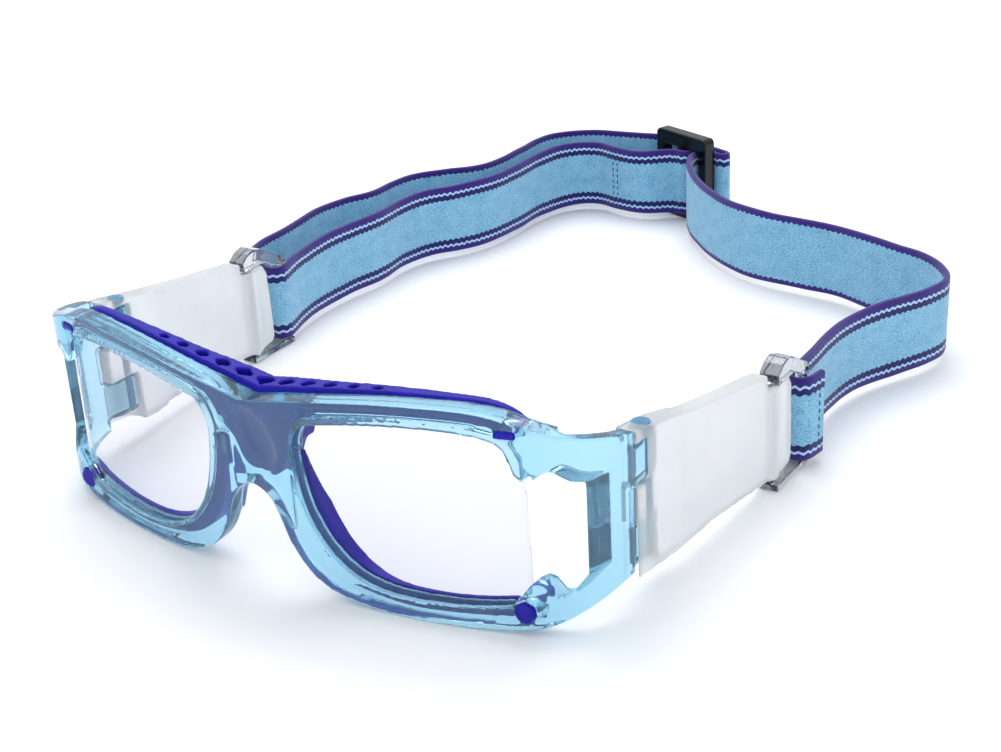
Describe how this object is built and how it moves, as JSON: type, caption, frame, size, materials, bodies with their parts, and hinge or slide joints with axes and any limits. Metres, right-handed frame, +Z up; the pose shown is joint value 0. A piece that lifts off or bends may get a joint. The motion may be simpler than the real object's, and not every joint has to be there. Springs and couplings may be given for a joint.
{
  "type": "sports protective goggles",
  "caption": "Sports protective goggles: tinted clear frame, curved lenses, soft pads, hinged side plates, swivelling buckles and an elastic strap with a slider.",
  "frame": {"origin": "on the symmetry plane of the front, on the table that the goggles stand on, 9.8 mm behind the foremost point of the nose bridge", "axes": "+X to the right as seen from the front, +Y towards the back of the head, +Z up; the front faces -Y"},
  "size_m": [0.1805, 0.2424, 0.0478],
  "materials": {
    "frame": "polished transparent light blue polycarbonate",
    "lens": "clear polished polycarbonate",
    "pad": "satin ultramarine silicone",
    "temple": "frosted translucent white elastomer",
    "pin": "translucent mid blue",
    "buckle": "clear polished",
    "webbing": "light blue elastic webbing with navy edge stripes",
    "slider": "glossy black"
  },
  "bodies": {
    "front": {"front_frame": "frame", "lens_right": "lens", "lens_left": "lens", "brow_pad": "pad", "cheek_pad_right": "pad", "cheek_pad_left": "pad", "hinge_pin_right": "pin", "hinge_pin_left": "pin", "strap": "webbing"},
    "side_plate_right": {"temple_right": "temple"},
    "side_plate_left": {"temple_left": "temple"},
    "buckle_right": {"strap_buckle_right": "buckle"},
    "buckle_left": {"strap_buckle_left": "buckle"},
    "strap_slider": {"slider": "slider"}
  },
  "joints": [
    {"name": "temple_fold_right", "type": "hinge", "parent": "front", "child": "side_plate_right", "pos_m": [0.07, 0.0253, 0.025], "axis": [0, 0, 1], "range_deg": [-3, 90], "deforming": ["strap"]},
    {"name": "temple_fold_left", "type": "hinge", "parent": "front", "child": "side_plate_left", "pos_m": [-0.07, 0.0253, 0.025], "axis": [0, 0, -1], "range_deg": [-3, 90], "deforming": ["strap"]},
    {"name": "buckle_swivel_right", "type": "hinge", "parent": "side_plate_right", "child": "buckle_right", "pos_m": [0.0745, 0.0745, 0.015], "axis": [0, 0, 1], "range_deg": [-80, 80], "deforming": ["strap"]},
    {"name": "buckle_swivel_left", "type": "hinge", "parent": "side_plate_left", "child": "buckle_left", "pos_m": [-0.0745, 0.0745, 0.015], "axis": [0, 0, -1], "range_deg": [-80, 80], "deforming": ["strap"]},
    {"name": "slider_slide", "type": "slide", "parent": "front", "child": "strap_slider", "axis": [0.9397, -0.342, 0], "range_m": [-0.02, 0.005], "deforming": ["strap"]}
  ]
}
